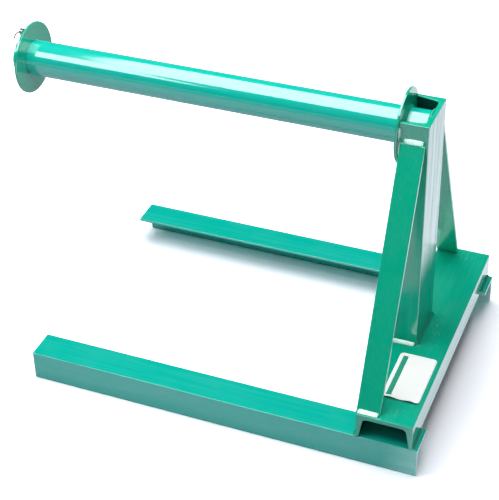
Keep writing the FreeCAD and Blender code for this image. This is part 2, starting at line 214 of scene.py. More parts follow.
def make_world():
    """Pale grey to the eye, bright at the horizon, dim above it for light, nearly black in gloss."""
    world = bpy.data.worlds.new("studio")
    scene.world = world
    world.use_nodes = True
    tree = world.node_tree
    tree.nodes.clear()
    way = add_node(tree, "ShaderNodeTexCoord").outputs["Generated"]
    height = add_node(tree, "ShaderNodeSeparateXYZ", {0: way}).outputs["Z"]
    rays = add_node(tree, "ShaderNodeLightPath").outputs
    ceiling = ramp(tree, rays["Is Glossy Ray"], 0.0, 1.0, CEILING_LIGHT, CEILING_MIRRORED)
    above = ramp(tree, height, 0.0, HORIZON, 1.0, ceiling)
    strength = maths(tree, "MAXIMUM", above, rays["Is Camera Ray"])
    light = add_node(tree, "ShaderNodeBackground", {"Strength": strength})
    output = add_node(tree, "ShaderNodeOutputWorld")
    tree.links.new(light.outputs[0], output.inputs["Surface"])


def make_lamp(name, place, width, depth):
    """A rectangular soft lamp that faces straight down."""
    data = bpy.data.lights.new(name, "AREA")
    data.shape = "RECTANGLE"
    data.size = width
    data.size_y = depth
    data.energy = LAMP_RADIANCE * math.pi * width * depth
    lamp = bpy.data.objects.new(name, data)
    lamp.location = (*place, LAMP_HEIGHT)
    scene.collection.objects.link(lamp)


make_floor()
make_world()
for lamp in LAMPS:
    make_lamp(*lamp)
scene.view_settings.view_transform = "Standard"
print("lamps:", [name for name, *_ in LAMPS])

# %% [markdown]
# ## Enamel
# The stand has one coat of gloss enamel over mill-finish steel. Three things make it read as
# paint and not as plastic: a clear top layer that mirrors the room, an orange-peel ripple a
# couple of millimetres across, and the rolling streaks of the bar showing through along its
# length. The ripple and the streaks are bumps in the material; its colour hardly varies, but the
# gloss is scuffed along the streaks. The legs, the pipe and the braces take lighter copies of the
# green, which is painted light. The paint under the clear layer has no mirror of its own, and
# the layer's index is higher than a real varnish has, because the picture's reflections are that
# strong. The hollows of the channels are painted dark and dull, which is painted shade. Patterns
# read Object coordinates, in metres, so they have the same scale on every piece.

# %% Enamel
# The first green is the enamel itself; the two after it are lighter copies of it, painted light for the legs,
# the pipe and the braces.
ENAMEL_DEEP = (0.001, 0.54, 0.35)
ENAMEL_PAINTED_LIGHTER = (0.001, 0.66, 0.52)
ENAMEL_BRACE_PAINTED_LIGHTER = (0.001, 0.67, 0.40)
PALER = 0.15
COAT_IOR = 2.45
COAT_ROUGHNESS = 0.10
UNDERCOAT_ROUGHNESS = (0.5, 0.7)
PEEL_SCALE = 420.0
GRAIN_SCALE = 900.0
NIB_SCALE = 520.0
NIB_LIMITS = (0.70, 0.80)
PATCH_SCALE = 22.0
PATCH_LIMITS = (0.3, 0.7)
THIN_LIMITS = (0.42, 0.64)
SCUFF_LIMITS = (0.42, 0.62)
STREAK_STRETCH = 0.03
FAN_RADIUS, FAN_TURN = 1.5, 0.05
# Painted shade in the channels' hollows: its soft edge, its dull coat, its near-black green, and how far down
# the upright it reaches.
PAINTED_SHADE_EDGE = 1.0 * mm
PAINTED_SHADE_COAT = 0.15
PAINTED_SHADE_GREEN = (0.001, 0.05, 0.04, 1.0)
PAINTED_SHADE_DEPTH = 68 * mm


def streak_places(tree, places, along):
    """Object coordinates squeezed along one axis, so that noise on them runs into streaks."""
    scale = [1.0, 1.0, 1.0]
    scale["XYZ".index(along)] = STREAK_STRETCH
    return add_node(tree, "ShaderNodeMapping", {"Vector": places, "Scale": scale}).outputs[0]


def noise(tree, places, scale, detail=2.0, rough=0.5):
    """Noise from 0 to 1 at a number of waves per metre."""
    inputs = {"Vector": places, "Scale": scale, "Detail": detail, "Roughness": rough}
    return add_node(tree, "ShaderNodeTexNoise", inputs).outputs[0]


def bump(tree, height, depth, under=None):
    """A normal raised by a height of 0 to 1 times a depth in metres."""
    inputs = {"Height": height, "Distance": depth, "Strength": 1.0}
    if under is not None:
        inputs["Normal"] = under
    return add_node(tree, "ShaderNodeBump", inputs).outputs[0]


def radial_places(tree, places):
    """Coordinates that fan out round the pipe: the radius, and the way from its axis."""
    pipe_low, pipe_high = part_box("spindle_pipe")
    axis = (0.0, -(pipe_low.y + pipe_high.y) / 2, -(pipe_low.z + pipe_high.z) / 2)
    to_axis = {"Vector": places, "Location": axis, "Scale": (0.0, 1.0, 1.0)}
    centred = add_node(tree, "ShaderNodeMapping", to_axis).outputs[0]
    way = vector_maths(tree, "NORMALIZE", centred)
    spot = add_node(tree, "ShaderNodeSeparateXYZ", {0: way}).outputs
    inputs = {
        "X": maths(tree, "MULTIPLY", vector_maths(tree, "LENGTH", centred), FAN_RADIUS),
        "Y": maths(tree, "MULTIPLY", spot["Y"], FAN_TURN),
        "Z": maths(tree, "MULTIPLY", spot["Z"], FAN_TURN),
    }
    return add_node(tree, "ShaderNodeCombineXYZ", inputs).outputs[0]


def inside_box(tree, places, low, high):
    """1 well within a box of places, 0 outside it, and a soft change at its sides."""
    apart = vector_maths(tree, "ABSOLUTE", vector_maths(tree, "SUBTRACT", places, (low + high) / 2))
    past = vector_maths(tree, "SUBTRACT", apart, (high - low) / 2)
    sides = add_node(tree, "ShaderNodeSeparateXYZ", {0: past}).outputs
    furthest = maths(tree, "MAXIMUM", sides["X"], maths(tree, "MAXIMUM", sides["Y"], sides["Z"]))
    return ramp(tree, furthest, -PAINTED_SHADE_EDGE, 0.0, 1.0, 0.0)


def make_enamel(name, green, along, peel=0.030 * mm, grain=0.010 * mm, streaks=0.020 * mm, nibs=0.0,
                worn=0.12, rolled=260.0, scuffed=0.0, painted_shade_box=None, coat_ior=COAT_IOR):
    """Green gloss enamel for a bar rolled along one axis, or for a disc, fanned round the pipe."""
    material, output = new_material(name)
    tree = material.node_tree
    places = add_node(tree, "ShaderNodeTexCoord").outputs["Object"]
    drawn = radial_places(tree, places) if along == "round" else streak_places(tree, places, along)
    streak = noise(tree, drawn, rolled, 3.0)
    orange_peel = noise(tree, places, PEEL_SCALE, 1.0)
    mill_grain = noise(tree, places, GRAIN_SCALE, 4.0, 0.7)
    patches = noise(tree, places, PATCH_SCALE, 3.0)
    dust = ramp(tree, noise(tree, places, NIB_SCALE, 1.0), *NIB_LIMITS, 0.0, 1.0)
    normal = bump(tree, streak, streaks)
    normal = bump(tree, mill_grain, grain, normal)
    normal = bump(tree, orange_peel, peel, normal)
    normal = bump(tree, dust, nibs, normal)
    film = maths(tree, "MULTIPLY", maths(tree, "ADD", patches, streak), 0.5)
    thin = ramp(tree, film, *THIN_LIMITS, 0.0, worn)
    pale = [share + PALER * (1.0 - share) for share in green]
    colour = blend(tree, thin, (*green, 1.0), (*pale, 1.0))
    coat = ramp(tree, streak, *SCUFF_LIMITS, 1.0, 1.0 - scuffed) if scuffed else 1.0
    # Painted shade: inside the box the colour goes near black and the coat dull.
    if painted_shade_box:
        depth = inside_box(tree, places, *painted_shade_box)
        colour = blend(tree, depth, colour, PAINTED_SHADE_GREEN)
        coat = ramp(tree, depth, 0.0, 1.0, coat, PAINTED_SHADE_COAT)
    inputs = {
        "Base Color": colour,
        "Roughness": ramp(tree, patches, *PATCH_LIMITS, *UNDERCOAT_ROUGHNESS),
        "Specular IOR Level": 0.0,
        "Normal": normal,
        "Coat Weight": coat,
        "Coat Roughness": COAT_ROUGHNESS,
        "Coat IOR": coat_ior,
        "Coat Normal": normal,
    }
    paint = add_node(tree, "ShaderNodeBsdfPrincipled", inputs)
    tree.links.new(paint.outputs[0], output.inputs["Surface"])
    return material


# Painted shade: a box in each channel's hollow is painted dark. It starts just inside the outer faces and
# reaches out of the channel's open side; in the upright it covers only the top of the hollow.
base_low, base_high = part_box("base_channel")
base_painted_shade_box = (base_low + Vector((2, 1, -9)) * mm, base_high - Vector((2, 1, 3)) * mm)
upright_low, upright_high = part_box("upright_channel")
painted_shade_low = Vector((upright_low.x, upright_low.y, upright_high.z - PAINTED_SHADE_DEPTH))
upright_painted_shade_box = (painted_shade_low + Vector((0.8, 2, 0)) * mm, upright_high - Vector((3, 2, 1)) * mm)

base_enamel = make_enamel("base_enamel", ENAMEL_DEEP, "Y", nibs=0.03 * mm, scuffed=0.15,
                          painted_shade_box=base_painted_shade_box, coat_ior=2.05)
upright_enamel = make_enamel("upright_enamel", ENAMEL_DEEP, "Z", streaks=0.16 * mm, grain=0.035 * mm,
                             worn=0.22, rolled=150.0, scuffed=0.35, painted_shade_box=upright_painted_shade_box)
brace_enamel = make_enamel("brace_enamel", ENAMEL_BRACE_PAINTED_LIGHTER, "Z")
disc_enamel = make_enamel("disc_enamel", ENAMEL_DEEP, "round", streaks=0.12 * mm, worn=0.2, scuffed=0.25)
leg_enamel = make_enamel("leg_enamel", ENAMEL_PAINTED_LIGHTER, "X", nibs=0.04 * mm, scuffed=0.20)
pipe_enamel = make_enamel("pipe_enamel", ENAMEL_PAINTED_LIGHTER, "X")
bead_enamel = make_enamel("enamel_on_weld", ENAMEL_DEEP, "X", peel=0.05 * mm, grain=0.015 * mm,
                          streaks=0.0, coat_ior=3.2)
print("enamels:", sorted(material.name for material in bpy.data.materials if "enamel" in material.name))

# %% [markdown]
# ## Bars with real edges
# A CAD solid meets itself at perfect corners, and perfect corners never catch the light. Rolled
# and sawn steel has small round edges, where paint shows a thin bright line. Each bar is a copy
# of its solid with the flat faces joined up, a bevel on every sharp edge, and normals weighted
# by face so that the flats stay flat. The copy stands for the solid.

# %% Rounded copies
EDGE_SEGMENTS = 3
SHARP_ANGLE = math.radians(34)
MERGE = 0.002 * mm
FLAT_ANGLE = math.radians(0.6)


def plain_mesh_piece(name, mesh, body, material, replaced=()):
    """Link a finished mesh as a piece that rides on a body and stands for CAD nodes."""
    mesh.name = name
    mesh.materials.clear()
    mesh.materials.append(material)
    piece = bpy.data.objects.new(name, mesh)
    scene.collection.objects.link(piece)
    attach(piece, body)
    if replaced:
        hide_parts(*replaced)
    return piece


def joined_copy(node):
    """The node's mesh with its loose triangles merged and its flats made whole."""
    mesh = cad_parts[node].data.copy()
    shape = bmesh.new()
    shape.from_mesh(mesh)
    bmesh.ops.remove_doubles(shape, verts=shape.verts, dist=MERGE)
    bmesh.ops.dissolve_limit(shape, angle_limit=FLAT_ANGLE, verts=shape.verts, edges=shape.edges)
    shape.to_mesh(mesh)
    shape.free()
    if mesh.has_custom_normals:
        mesh.attributes.remove(mesh.attributes["custom_normal"])
    return mesh


def baked(piece_object):
    """The evaluated mesh of an object with modifiers, and the object removed."""
    graph = bpy.context.evaluated_depsgraph_get()
    mesh = bpy.data.meshes.new_from_object(piece_object.evaluated_get(graph))
    bpy.data.objects.remove(piece_object)
    return mesh


def rounded_mesh(mesh, radius):
    """Bevel the sharp edges and shade the result smooth, weighted by face."""
    maker = bpy.data.objects.new("maker", mesh)
    scene.collection.objects.link(maker)
    mesh.shade_smooth()
    edges = maker.modifiers.new("edges", "BEVEL")
    edges.width = radius
    edges.segments = EDGE_SEGMENTS
    edges.limit_method = "ANGLE"
    edges.angle_limit = SHARP_ANGLE
    edges.use_clamp_overlap = False
    weights = maker.modifiers.new("weights", "WEIGHTED_NORMAL")
    weights.keep_sharp = False
    return baked(maker)


def rounded_copy(node, radius, body, material):
    """A copy of a CAD node with round edges, in its place."""
    mesh = rounded_mesh(joined_copy(node), radius)
    piece = plain_mesh_piece(node + "_painted", mesh, body, material, [node])
    print("%s: %d faces" % (piece.name, len(mesh.polygons)))
    return piece


BARS = {
    "near_leg": (leg_enamel, 0.9 * mm),
    "far_leg": (leg_enamel, 0.9 * mm),
    "base_channel": (base_enamel, 0.8 * mm),
    "upright_channel": (upright_enamel, 0.8 * mm),
    "near_brace": (brace_enamel, 0.9 * mm),
    "far_brace": (brace_enamel, 0.9 * mm),
    "spindle_pipe": (pipe_enamel, 0.4 * mm),
    "fixed_disc": (disc_enamel, 0.15 * mm),
}
for node, (enamel, radius) in BARS.items():
    rounded_copy(node, radius, "frame", enamel)
rounded_copy("retaining_disc", 0.15 * mm, "end_disc", disc_enamel)

# %% [markdown]
# ## Weld beads
# A welder lays a fillet bead as a row of overlapping puddles, so it looks like a stack of coins
# that has been pushed over, and it is never quite even. Modelling puddles one by one would be
# slow, and a bump map would leave the outline straight. A bead follows a rule, so Geometry Nodes
# make it: a grid is bent round the seam between the two plates, and its radius rises and falls
# with each puddle. Its long sides dip a few degrees into the plates and fold back to the seam, so
# the bead is closed. One tree serves every bead; only the seam and a few sizes change.

# %% The bead tree
BEAD_INPUTS = (
    ("Reach", "NodeSocketFloat", 5 * mm),
    ("Climb", "NodeSocketFloat", 5 * mm),
    ("Wedge", "NodeSocketFloat", math.pi / 2),
    ("Pitch", "NodeSocketFloat", 2.6 * mm),
    ("Ripple", "NodeSocketFloat", 0.20),
    ("Unevenness", "NodeSocketFloat", 0.24),
    ("Bulge", "NodeSocketFloat", 0.10),
    ("Crown", "NodeSocketFloat", 0.0),
    ("Closed", "NodeSocketFloat", 0.0),
    ("Out", "NodeSocketVector", (1.0, 0.0, 0.0)),
    ("Seed", "NodeSocketFloat", 0.0),
    ("Paint", "NodeSocketMaterial", None),
)
RINGS_PER_PUDDLE = 8
BEAD_COLUMNS = 15
SINK = math.radians(7)
PUDDLE_BOW = 0.45
PUDDLE_DOME = 0.7
WOBBLES = ((70.0, 0.65), (420.0, 0.35))
END_ROUND = 0.8


def new_tree(name, sockets):
    """An empty Geometry Nodes tree with named inputs, its input node and its output node."""
    tree = bpy.data.node_groups.new(name, "GeometryNodeTree")
    tree.interface.new_socket("Geometry", in_out="INPUT", socket_type="NodeSocketGeometry")
    tree.interface.new_socket("Geometry", in_out="OUTPUT", socket_type="NodeSocketGeometry")
    for label, kind, value in sockets:
        socket = tree.interface.new_socket(label, in_out="INPUT", socket_type=kind)
        if value is not None:
            socket.default_value = value
    return tree, add_node(tree, "NodeGroupInput").outputs, add_node(tree, "NodeGroupOutput")


def grid_over_seam(tree, given):
    """A grid with a row for each step along the seam, and where each of its points belongs."""
    seam = add_node(tree, "GeometryNodeMeshToCurve", {"Mesh": given["Geometry"]}).outputs[0]
    length = add_node(tree, "GeometryNodeCurveLength", {"Curve": seam}).outputs[0]
    puddles = maths(tree, "ROUND", maths(tree, "DIVIDE", length, given["Pitch"]))
    rows = maths(tree, "MULTIPLY", puddles, RINGS_PER_PUDDLE)
    sizes = {"Size X": 1.0, "Size Y": 1.0, "Vertices X": rows, "Vertices Y": BEAD_COLUMNS}
    grid = add_node(tree, "GeometryNodeMeshGrid", sizes).outputs["Mesh"]
    on_grid = add_node(tree, "GeometryNodeInputPosition").outputs[0]
    place = add_node(tree, "ShaderNodeSeparateXYZ", {0: on_grid}).outputs
    along = maths(tree, "ADD", place["X"], 0.5)
    around = maths(tree, "ADD", place["Y"], 0.5)
    sampling = {"Curves": seam, "Factor": along}
    sampled = add_node(tree, "GeometryNodeSampleCurve", sampling, mode="FACTOR").outputs
    return grid, length, puddles, along, around, sampled["Position"], sampled["Tangent"]


def puddle_wave(tree, given, puddles, along, turn):
    """1 at the crown of a puddle, less in the valley between two, bowed across the bead."""
    bow = maths(tree, "MULTIPLY", maths(tree, "SINE", maths(tree, "MULTIPLY", turn, 2.0)), PUDDLE_BOW)
    phase = maths(tree, "MULTIPLY_ADD", along, puddles, bow)
    dome = maths(tree, "ABSOLUTE", maths(tree, "SINE", maths(tree, "MULTIPLY", phase, math.pi)))
    valley = maths(tree, "SUBTRACT", 1.0, maths(tree, "POWER", dome, PUDDLE_DOME))
    return maths(tree, "SUBTRACT", 1.0, maths(tree, "MULTIPLY", valley, given["Ripple"]))


def uneven(tree, given, place):
    """A hand-held wobble: a slow change of size and a fast roughness."""
    result = 1.0
    for waves, share in WOBBLES:
        inputs = {"Vector": place, "W": given["Seed"], "Scale": waves, "Detail": 1.0}
        value = add_node(tree, "ShaderNodeTexNoise", inputs, noise_dimensions="4D").outputs[0]
        amount = maths(tree, "MULTIPLY", given["Unevenness"], share)
        result = maths(tree, "SUBTRACT", result, maths(tree, "MULTIPLY", value, amount))
    return result


def end_shape(tree, given, length, along):
    """Round both ends of an open bead, and let its middle stand higher by the crown."""
    from_middle = maths(tree, "ABSOLUTE", maths(tree, "MULTIPLY_ADD", along, 2.0, -1.0))
    half_length = maths(tree, "MULTIPLY", length, 0.5)
    to_end = maths(tree, "MULTIPLY", maths(tree, "SUBTRACT", 1.0, from_middle), half_length)
    round_part = maths(tree, "MULTIPLY", given["Reach"], END_ROUND)
    share = maths(tree, "MINIMUM", maths(tree, "DIVIDE", to_end, round_part), 1.0)
    left = maths(tree, "SUBTRACT", 1.0, share)
    rounded = maths(tree, "SQRT", maths(tree, "SUBTRACT", 1.0, maths(tree, "MULTIPLY", left, left)))
    rounded = maths(tree, "MAXIMUM", rounded, given["Closed"])
    fall = maths(tree, "MULTIPLY", maths(tree, "MULTIPLY", from_middle, from_middle), given["Crown"])
    return maths(tree, "MULTIPLY", rounded, maths(tree, "SUBTRACT", 1.0, fall))


def bead_profile(tree, given, turn):
    """The bead's radius at a turn: straight from one toe to the other, and bulging between."""
    held = maths(tree, "MINIMUM", maths(tree, "MAXIMUM", turn, 0.0), given["Wedge"])
    left = maths(tree, "SINE", maths(tree, "SUBTRACT", given["Wedge"], held))
    below = maths(tree, "MULTIPLY_ADD", given["Reach"], maths(tree, "SINE", held),
                  maths(tree, "MULTIPLY", given["Climb"], left))
    above = maths(tree, "MULTIPLY", maths(tree, "MULTIPLY", given["Reach"], given["Climb"]),
                  maths(tree, "SINE", given["Wedge"]))
    half_wave = maths(tree, "MULTIPLY", maths(tree, "DIVIDE", held, given["Wedge"]), math.pi)
    full = maths(tree, "MULTIPLY_ADD", maths(tree, "SINE", half_wave), given["Bulge"], 1.0)
    return maths(tree, "MULTIPLY", maths(tree, "DIVIDE", above, below), full)


def finished(tree, geometry, paint):
    """The end of every tree here: instances made real, and the material set."""
    real = add_node(tree, "GeometryNodeRealizeInstances", {"Geometry": geometry}).outputs[0]
    painting = {"Geometry": real, "Material": paint}
    return add_node(tree, "GeometryNodeSetMaterial", painting).outputs[0]


def make_bead_tree():
    """The tree: a seam goes in, and a closed, painted bead of puddles comes out."""
    tree, given, output = new_tree("weld_bead", BEAD_INPUTS)
    grid, length, puddles, along, around, place, way = grid_over_seam(tree, given)
    first_column = 1.0 / (BEAD_COLUMNS - 1)
    last_turn = maths(tree, "ADD", given["Wedge"], SINK)
    turn = ramp(tree, around, first_column, 1.0 - first_column, -SINK, last_turn)
    off_border = maths(tree, "MULTIPLY", around, maths(tree, "SUBTRACT", 1.0, around))
    radius = bead_profile(tree, given, turn)
    for share in (
        puddle_wave(tree, given, puddles, along, turn),
        uneven(tree, given, place),
        end_shape(tree, given, length, along),
        maths(tree, "GREATER_THAN", off_border, 0.5 * first_column),
    ):
        radius = maths(tree, "MULTIPLY", radius, share)
    side = vector_maths(tree, "NORMALIZE", vector_maths(tree, "CROSS_PRODUCT", way, given["Out"]))
    outwards = vector_maths(tree, "SCALE", given["Out"], scale=maths(tree, "COSINE", turn))
    sideways = vector_maths(tree, "SCALE", side, scale=maths(tree, "SINE", turn))
    arm = vector_maths(tree, "SCALE", vector_maths(tree, "ADD", outwards, sideways), scale=radius)
    bending = {"Geometry": grid, "Position": vector_maths(tree, "ADD", place, arm)}
    bent = add_node(tree, "GeometryNodeSetPosition", bending).outputs[0]
    merging = {"Geometry": bent, "Distance": 0.01 * mm}
    closed = add_node(tree, "GeometryNodeMergeByDistance", merging).outputs[0]
    tree.links.new(finished(tree, closed, given["Paint"]), output.inputs[0])
    return tree


bead_tree = make_bead_tree()
print("bead tree:", len(bead_tree.nodes), "nodes")

# %% [markdown]
# ## Seams
# Every bead in the frame fills one corner between two plates. Its box gives that corner: where
# the bead grows towards + the seam is on the box's low side, and where it grows towards - it is
# on the high side. The beads round the pipe follow circles. Each finished bead stands for its
# own solid, so it stays where that solid is.

# %% Beads in their seams


def set_inputs(modifier, values):
    """Set a Geometry Nodes modifier's inputs by their sockets' identifiers."""
    for item in modifier.node_group.interface.items_tree:
        if item.item_type == "SOCKET" and item.in_out == "INPUT" and item.name in values:
            modifier[item.identifier] = values[item.name]


def line_mesh(name, points, closed):
    """A line of points as a mesh of edges."""
    line = bpy.data.meshes.new(name)
    edges = [(i, i + 1) for i in range(len(points) - 1)]
    if closed:
        edges.append((len(points) - 1, 0))
    line.from_pydata([tuple(point) for point in points], edges, [])
    return line


def grown(name, seed_mesh, tree, values):
    """Run a tree on a mesh and bake its result, closed and facing outwards."""
    maker = bpy.data.objects.new(name + "_maker", seed_mesh)
    scene.collection.objects.link(maker)
    modifier = maker.modifiers.new("nodes", "NODES")
    modifier.node_group = tree
    set_inputs(modifier, values)
    mesh = baked(maker)
    shape = bmesh.new()
    shape.from_mesh(mesh)
    bmesh.ops.remove_doubles(shape, verts=shape.verts, dist=0.005 * mm)
    bmesh.ops.dissolve_degenerate(shape, edges=shape.edges, dist=0.001 * mm)
    bmesh.ops.recalc_face_normals(shape, faces=shape.faces)
    open_edges = sum(1 for edge in shape.edges if not edge.is_manifold)
    shape.to_mesh(mesh)
    shape.free()
    mesh.shade_smooth()
    return mesh, open_edges


def corner_seam(node, first, second):
    """The straight seam of a bead that grows along two directions, and its leg."""
    low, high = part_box(node)
    start, end = low.copy(), high.copy()
    for way in (first, second):
        axis = max(range(3), key=lambda i: abs(way[i]))
        start[axis] = end[axis] = low[axis] if way[axis] > 0 else high[axis]
    axis = max(range(3), key=lambda i: abs(first[i]))
    return start, end, high[axis] - low[axis]


def facing_seam(start, end, first, second):
    """The seam's ends in the order that makes its way, crossed with first, point along second."""
    way = end - start
    return [start, end] if way.cross(Vector(first)).dot(Vector(second)) > 0 else [end, start]


def lay_bead(node, points, leg, first, seed, closed=False, reach=1.0, climb=1.0, **values):
    """Make one bead and let it stand for its solid. Reach and climb are shares of its leg."""
    inputs = {"Reach": leg * reach, "Climb": leg * climb, "Out": first, "Seed": float(seed),
              "Paint": bead_enamel, "Closed": float(closed)}
    inputs.update({key.capitalize(): value for key, value in values.items()})
    mesh, open_edges = grown(node, line_mesh(node, points, closed), bead_tree, inputs)
    piece = plain_mesh_piece(node + "_bead", mesh, "frame", bead_enamel, [node])
    print("%s: %d faces, %d open edges" % (piece.name, len(mesh.polygons), open_edges))


# Rough beads of the base, low ones at the upright's flanges, arched ones at the braces' heads.
BUMPY = {"ripple": 0.34, "unevenness": 0.45, "pitch": 3.4 * mm, "bulge": 0.30}
LOW = {"reach": 1.15, "climb": 0.80, "bulge": 0.05, "ripple": 0.10, "unevenness": 0.16}
ARCHED = {"reach": 1.30, "climb": 1.12, "crown": 0.20, "bulge": 0.05, "ripple": 0.09, "unevenness": 0.16}
STRAIGHT_BEADS = (
    ("weld_near_leg_outer", (1, 0, 0), (0, 0, 1), BUMPY),
    ("weld_far_leg_outer", (1, 0, 0), (0, 0, 1), BUMPY),
    ("weld_near_leg_inner", (-1, 0, 0), (0, 0, 1), {}),
    ("weld_far_leg_inner", (-1, 0, 0), (0, 0, 1), {}),
    ("weld_upright_near", (0, -1, 0), (0, 0, 1), LOW),
    ("weld_upright_far", (0, 1, 0), (0, 0, 1), LOW),
    ("weld_upright_web", (1, 0, 0), (0, 0, 1), BUMPY),
    ("weld_near_brace_top", (0, -1, 0), (0, 0, 1), ARCHED),
    ("weld_far_brace_top", (0, 1, 0), (0, 0, 1), ARCHED),
    ("weld_disc_near", (0, -1, 0), (1, 0, 0), {}),
    ("weld_disc_far", (0, 1, 0), (1, 0, 0), {}),
)
for seed, (node, first, second, values) in enumerate(STRAIGHT_BEADS):
    start, end, leg = corner_seam(node, first, second)
    lay_bead(node, facing_seam(start, end, first, second), leg, first, seed, **values)

# %% [markdown]
# ## The brace feet
# A brace leans, so the corner at its foot is wider than a right angle. The bead there is low
# and broad: it runs out to the end of the base, and its flat face catches the lamp.

# %% Beads at the brace feet
BRACE_FOOT_LEG = 5.5 * mm
BRACE_FOOT_REACH = 6.1 * mm
FLAT = {"reach": BRACE_FOOT_REACH / BRACE_FOOT_LEG, "climb": 0.9, "bulge": 0.06, "ripple": 0.10}
for seed, (side, sign) in enumerate((("near", -1), ("far", 1)), 20):
    brace_low, brace_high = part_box(side + "_brace")
    foot = brace_low.y if sign < 0 else brace_high.y
    head = brace_high.y if sign < 0 else brace_low.y
    lean = math.atan2(abs(foot - head), brace_high.z - brace_low.z)
    start = Vector((brace_low.x, foot, brace_low.z))
    end = Vector((brace_high.x, foot, brace_low.z))
    first, second = (0, sign, 0), (0, 0, 1)
    seam = facing_seam(start, end, first, second)
    lay_bead("weld_%s_brace_foot" % side, seam, BRACE_FOOT_LEG, first, seed, wedge=math.pi / 2 + lean, **FLAT)

# %% [markdown]
# ## Beads round the pipe
# Behind the fixed disc the bead runs all the way round the pipe; inside the upright only two
# short arcs can be reached with the torch. Their seams are points on a circle.

# %% Beads round the pipe
PIPE_LOW, PIPE_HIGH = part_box("spindle_pipe")
PIPE_HEIGHT = (PIPE_LOW.z + PIPE_HIGH.z) / 2
PIPE_RADIUS = (PIPE_HIGH.y - PIPE_LOW.y) / 2
RING_SEAM_STEPS = 96
ARC_HALF_ANGLE = 42
ARC_SEAM_STEPS = 32


def pipe_arc(x, start, end, steps):
    """Points round the pipe at one place along it, from one angle to another."""
    angles = [math.radians(start + (end - start) * i / steps) for i in range(steps + 1)]
    return [Vector((x, PIPE_RADIUS * math.sin(a), PIPE_HEIGHT + PIPE_RADIUS * math.cos(a))) for a in angles]


disc_ring_low, disc_ring_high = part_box("weld_spindle_disc")
ring_points = pipe_arc(disc_ring_low.x, 360, 0, RING_SEAM_STEPS)[:-1]
lay_bead("weld_spindle_disc", ring_points, disc_ring_high.x - disc_ring_low.x, (1, 0, 0), 30, closed=True)
for node, middle in (("weld_spindle_top", 0), ("weld_spindle_bottom", 180)):
    arc_low, arc_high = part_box(node)
    arc = pipe_arc(arc_high.x, middle - ARC_HALF_ANGLE, middle + ARC_HALF_ANGLE, ARC_SEAM_STEPS)
    lay_bead(node, arc, arc_high.x - arc_low.x, (-1, 0, 0), 31 + middle)

# %% [markdown]
# ## Spatter
# Welding throws small drops that freeze on the plate beside the bead, and the paint goes over
# them. They show as scattered bright points. A second small tree drops little balls on patches
# of plate, at random but from a fixed seed, and sinks them half way.

# %% Spatter beside the beads
SPATTER_INPUTS = (
    ("Density", "NodeSocketFloat", 20000.0),
    ("Size", "NodeSocketFloat", 0.85 * mm),
    ("Seed", "NodeSocketInt", 0),
    ("Paint", "NodeSocketMaterial", None),
)
SMALLEST, LARGEST = 0.45, 1.35


def make_spatter_tree():
    """The tree: patches of plate go in, and painted drops come out."""
    tree, given, output = new_tree("weld_spatter", SPATTER_INPUTS)
    scatter = {"Mesh": given["Geometry"], "Density": given["Density"], "Seed": given["Seed"]}
    spots = add_node(tree, "GeometryNodeDistributePointsOnFaces", scatter).outputs["Points"]
    ball = {"Radius": given["Size"], "Subdivisions": 2}
    drop = add_node(tree, "GeometryNodeMeshIcoSphere", ball).outputs["Mesh"]
    between = {2: SMALLEST, 3: LARGEST, "Seed": given["Seed"]}
    scale = add_node(tree, "FunctionNodeRandomValue", between).outputs[1]
    laying = {"Points": spots, "Instance": drop, "Scale": scale}
    drops = add_node(tree, "GeometryNodeInstanceOnPoints", laying).outputs[0]
    tree.links.new(finished(tree, drops, given["Paint"]), output.inputs[0])
    return tree


def patches_mesh(patches, height):
    """Rectangles of plate at one height, each given by its low and high corner."""
    mesh = bpy.data.meshes.new("patches")
    places, faces = [], []
    for (x0, y0), (x1, y1) in patches:
        first = len(places)
        places += [(x0, y0, height), (x1, y0, height), (x1, y1, height), (x0, y1, height)]
        faces.append((first, first + 1, first + 2, first + 3))
    mesh.from_pydata(places, [], faces)
    return mesh


brace_low, brace_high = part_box("near_brace")
beside_brace = (brace_high.x + 3 * mm, brace_high.x + 30 * mm)
beside_web = (upright_high.x + 8 * mm, upright_high.x + 26 * mm)
SPATTER_PATCHES = (
    ((beside_brace[0], base_low.y + 2 * mm), (beside_brace[1], base_low.y + 30 * mm)),
    ((beside_brace[0], base_high.y - 30 * mm), (beside_brace[1], base_high.y - 2 * mm)),
    ((beside_web[0], upright_low.y), (beside_web[1], upright_high.y)),
)
spatter_mesh, open_edges = grown("spatter", patches_mesh(SPATTER_PATCHES, base_high.z), make_spatter_tree(),
                                 {"Seed": 7, "Paint": bead_enamel})
spatter = plain_mesh_piece("weld_spatter", spatter_mesh, "frame", bead_enamel)
print("spatter: %d faces, %d open edges" % (len(spatter_mesh.polygons), open_edges))

# %% [markdown]
# ## Pin and ring
# The lock pin and its pull ring are bright plated wire, the only bare metal on the stand. Polish
# shows as a dark and light picture of the room, so the material is a plain metal with faint
# drawing lines. The solid ring has a twelve-sided wire to stay light; here it is a round torus
# with a fine butt joint, made by sweeping a circle in mesh code.

# %% Pin and ring
RING_WIRE = 2.0 * mm
RING_STEPS, WIRE_STEPS = 96, 16
BUTT_JOINT = 0.90
PLATING = (0.56, 0.57, 0.60, 1.0)
PLATING_ROUGHNESS = (0.16, 0.34)
DRAWN_SCALE = 3000.0
DULL_SCALE = 300.0


def make_bright_steel():
    """Plated wire: grey metal, drawn along X, with a few dull patches."""
    material, output = new_material("bright_plated_steel")
    tree = material.node_tree
    places = add_node(tree, "ShaderNodeTexCoord").outputs["Object"]
    lines = noise(tree, streak_places(tree, places, "X"), DRAWN_SCALE, 2.0)
    dull = noise(tree, places, DULL_SCALE, 3.0)
    inputs = {
        "Base Color": PLATING,
        "Metallic": 1.0,
        "Roughness": ramp(tree, dull, 0.35, 0.65, *PLATING_ROUGHNESS),
        "Normal": bump(tree, lines, 0.006 * mm),
    }
    metal = add_node(tree, "ShaderNodeBsdfPrincipled", inputs)
    tree.links.new(metal.outputs[0], output.inputs["Surface"])
    return material


